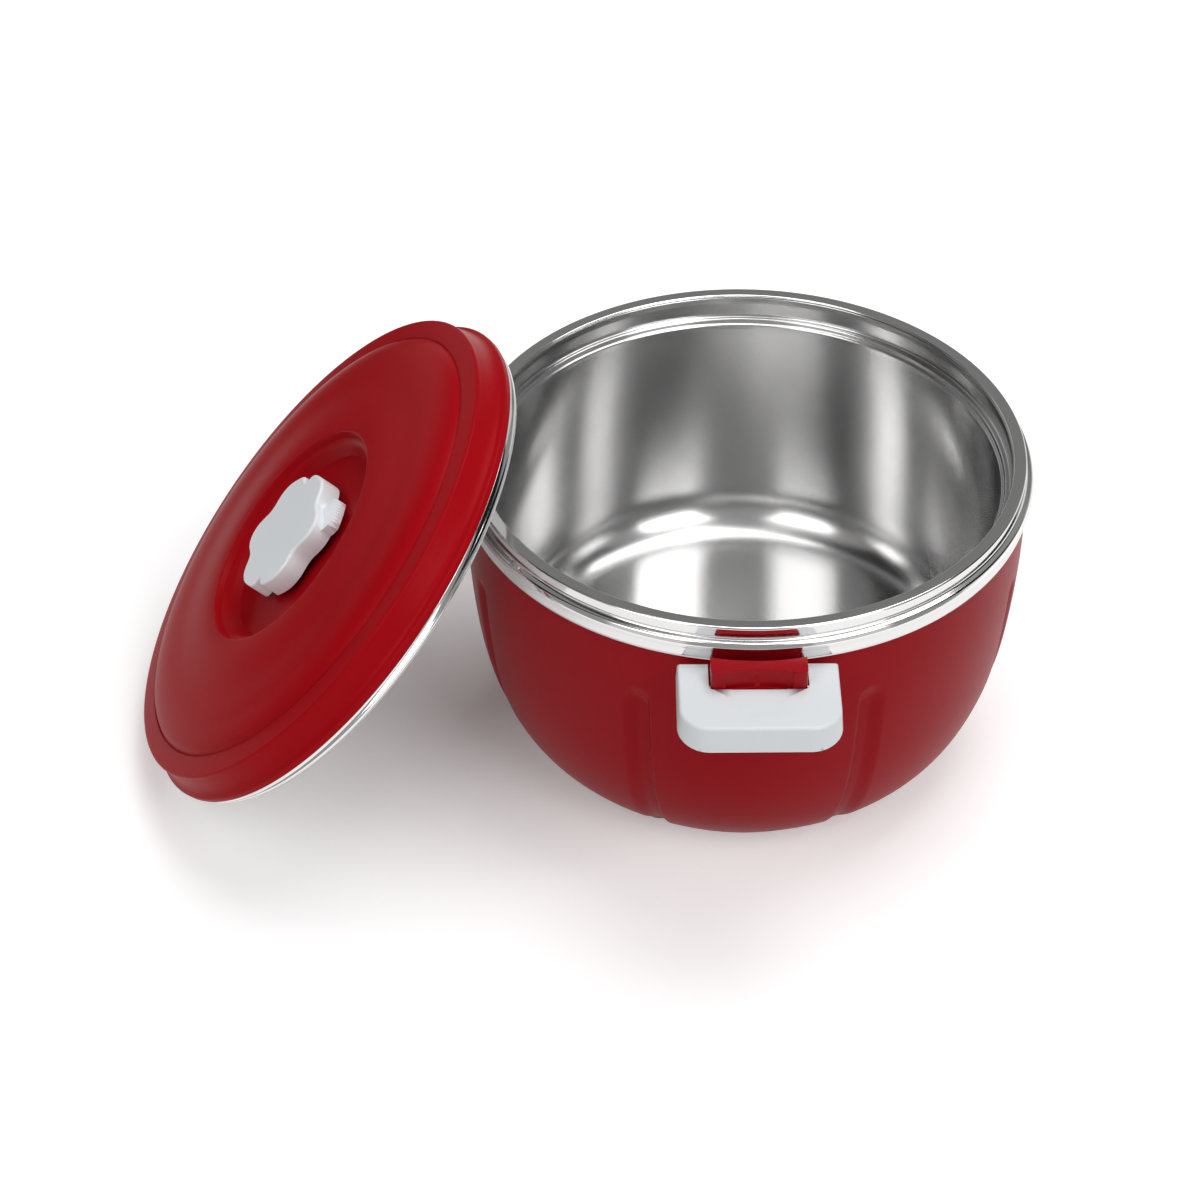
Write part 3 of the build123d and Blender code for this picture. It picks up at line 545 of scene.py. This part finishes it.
def flag(name, first, last, low, high, grey, distance=3.2):
    """A studio card: a grey patch of a sphere of a radius in metres, between two azimuths (from
    the front, towards +X) and two elevations in degrees, that only gloss sees."""
    azimuths, elevations = np.linspace(first, last, 24) - 90, np.linspace(low, high, 12)
    a, e = np.meshgrid(np.radians(azimuths), np.radians(elevations), indexing="ij")
    d = distance / MM
    points = np.stack([d * np.cos(e) * np.cos(a), d * np.cos(e) * np.sin(a), d * np.sin(e)], -1)
    card = grid_piece(name, points, loop_u=False)
    f = Finish(name)
    face = f.node("ShaderNodeEmission", {}, {"Color": (grey, grey, grey, 1)})
    f.node("ShaderNodeOutputMaterial", {}, {"Surface": face})
    card.data.materials.append(f.material)
    card.visible_camera = card.visible_diffuse = False
    card.visible_shadow = card.visible_transmission = False


def light(name, azimuth, elevation, distance, width, height, radiance):
    """Soft box of a radiance, aimed at the bowl from an azimuth (from the front, towards +X) and
    an elevation in degrees: it gives pi * area * radiance watts."""
    data = bpy.data.lights.new(name, "AREA")
    data.shape, data.size, data.size_y = "RECTANGLE", width, height
    data.energy = math.pi * width * height * radiance
    lamp = bpy.data.objects.new(name, data)
    a, e = math.radians(azimuth - 90), math.radians(elevation)
    place = Vector((math.cos(e) * math.cos(a), math.cos(e) * math.sin(a), math.sin(e))) * distance
    lamp.location = place
    lamp.rotation_euler = (-place).to_track_quat("-Z", "Y").to_euler()
    bpy.context.scene.collection.objects.link(lamp)


# studio cards round the bowl, the same on both sides: azimuths, elevations and grey
FLAGS = ((0, 22, 5, 85, 0.36), (23, 51, 26, 58, 1.3), (50, 80, -5, 75, 0.32),
         (80, 124, 16, 85, 0.01), (124, 146, 24, 70, 0.30), (146, 180, 16, 74, 0.22))
LOW_FLAG = (-168, -104, 0, 15, 0.03, 0.55)
# lamps: azimuth, elevation, distance, width, height and radiance
LAMPS = {"right_box": (37, 42, 2.3, 1.05, 1.25, 3.2), "left_box": (-37, 42, 2.3, 1.05, 1.25, 2.0),
         "top_box": (140, 74, 2.4, 1.5, 1.5, 3.7)}
# world strength for all rays, and what the camera and gloss see more
SKY, SKY_CAMERA, SKY_GLOSS = 0.30, 0.70, 0.40
LENS, SENSOR, FAR = 106.84, 36.0, 50
CAMERA_PLACE, CAMERA_TURN = (-0.0762, -1.2286, 1.0852), (50.30, 0.0, -0.6)


def studio():
    """Camera, world, lamps and cards."""
    scene = bpy.context.scene
    scene.view_settings.view_transform = "Standard"
    world = bpy.data.worlds.new("studio")
    scene.world = world
    f = Finish("studio", world)
    path = f.node("ShaderNodeLightPath", out="Is Camera Ray")
    rays = path.link.node.outputs
    through = Reading(f, rays["Is Transmission Ray"])
    seen = f.node("ShaderNodeMath", {"operation": "MAXIMUM"}, {0: path, 1: through})
    gloss = Reading(f, rays["Is Glossy Ray"])
    sky = f.node("ShaderNodeBackground", {}, {
        "Color": (1, 1, 1, 1), "Strength": SKY + seen * SKY_CAMERA + gloss * SKY_GLOSS})
    f.node("ShaderNodeOutputWorld", {}, {"Surface": sky})
    for name, setting in LAMPS.items():
        light(name, *setting)
    for side, name in ((1, "right"), (-1, "left")):
        for first, last, low, high, grey in FLAGS:
            ends = sorted((side * first, side * last))
            flag(f"flag_{name}_{first}", *ends, low, high, grey)
    flag("flag_low_left", *LOW_FLAG)
    camera = bpy.data.objects.new("camera", bpy.data.cameras.new("camera"))
    camera.data.lens = LENS
    camera.data.sensor_width = SENSOR
    camera.location = CAMERA_PLACE
    camera.rotation_euler = [math.radians(turn) for turn in CAMERA_TURN]
    camera.data.clip_end = FAR
    scene.collection.objects.link(camera)
    scene.camera = camera


build()
stage_floor()
studio()
bpy.context.view_layer.update()
